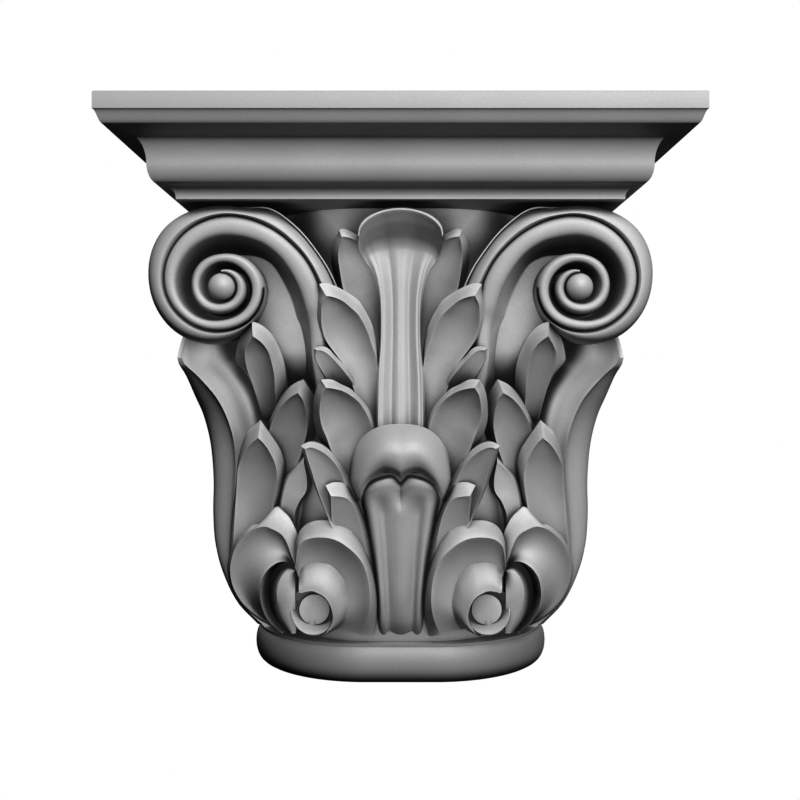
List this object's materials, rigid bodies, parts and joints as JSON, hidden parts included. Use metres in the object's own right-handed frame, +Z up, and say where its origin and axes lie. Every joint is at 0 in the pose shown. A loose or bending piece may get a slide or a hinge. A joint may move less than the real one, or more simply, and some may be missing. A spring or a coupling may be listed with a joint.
{
  "type": "corinthian capital",
  "caption": "Corinthian pilaster capital: moulded abacus, scrolled volutes, layered acanthus leaves with drilled curls, fluted stem with boss, rounded astragal, flat back.",
  "frame": {"origin": "bottom centre of the bounding box: on the floor, midway across the width and the depth", "axes": "+Z up, +X to the right of the carved front as seen from it, the carved front looks along -Y and the flat back along +Y"},
  "size_m": [0.4, 0.2, 0.402],
  "materials": {
    "stone": "smooth pale grey cast stone, matt with a slight sheen"
  },
  "bodies": {
    "root": {"capital": "stone"}
  },
  "joints": []
}
